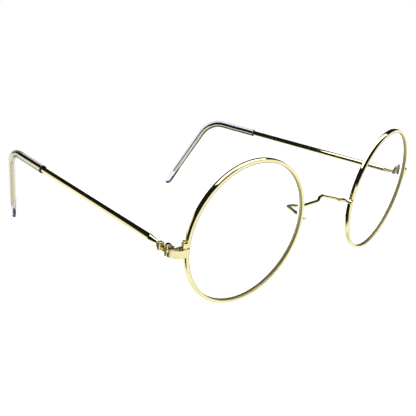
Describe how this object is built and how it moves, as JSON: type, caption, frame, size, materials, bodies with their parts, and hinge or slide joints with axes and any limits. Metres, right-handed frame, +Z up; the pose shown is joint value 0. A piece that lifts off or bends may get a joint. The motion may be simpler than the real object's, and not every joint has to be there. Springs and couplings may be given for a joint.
{
  "type": "round wire eyeglasses",
  "caption": "Round wire-rimmed eyeglasses with clear lenses, a bent wire bridge and slim temples that fold on screw hinges.",
  "frame": {"origin": "centre of the bounding box on the surface that the open eyeglasses stand on, touching it with both rim bottoms and both sleeve tips", "axes": "+X towards the wearer's left ear, +Y from the lenses back to the ears, +Z up"},
  "size_m": [0.1414, 0.1346, 0.0496],
  "materials": {
    "gold_wire": "polished pale gold plating",
    "gold_fitting": "polished pale gold plating over brazed fittings",
    "gold_screw": "polished, slightly deeper gold",
    "clear_lens": "clear, polished, very faint grey tint",
    "clear_sleeve": "clear glossy plastic with a faint blue cast"
  },
  "bodies": {
    "front": {"bridge_wire": "gold_wire", "eyewire_right": "gold_wire", "lens_right": "clear_lens", "closing_block_upper_right": "gold_fitting", "closing_block_lower_right": "gold_fitting", "closing_screw_right": "gold_screw", "endpiece_right": "gold_fitting", "hinge_leaf_front_right": "gold_fitting", "hinge_screw_right": "gold_screw", "eyewire_left": "gold_wire", "lens_left": "clear_lens", "closing_block_upper_left": "gold_fitting", "closing_block_lower_left": "gold_fitting", "closing_screw_left": "gold_screw", "endpiece_left": "gold_fitting", "hinge_leaf_front_left": "gold_fitting", "hinge_screw_left": "gold_screw"},
    "temple_right": {"hinge_leaf_temple_right": "gold_fitting", "temple_wire_right": "gold_wire", "temple_sleeve_right": "clear_sleeve"},
    "temple_left": {"hinge_leaf_temple_left": "gold_fitting", "temple_wire_left": "gold_wire", "temple_sleeve_left": "clear_sleeve"}
  },
  "joints": [
    {"name": "temple_right_fold", "type": "hinge", "parent": "front", "child": "temple_right", "pos_m": [-0.0684, -0.05523, 0.02576], "axis": [0, 0.1537, -0.9881], "range_deg": [0, 83]},
    {"name": "temple_left_fold", "type": "hinge", "parent": "front", "child": "temple_left", "pos_m": [0.0684, -0.05523, 0.02576], "axis": [0, -0.1537, 0.9881], "range_deg": [0, 78]}
  ]
}
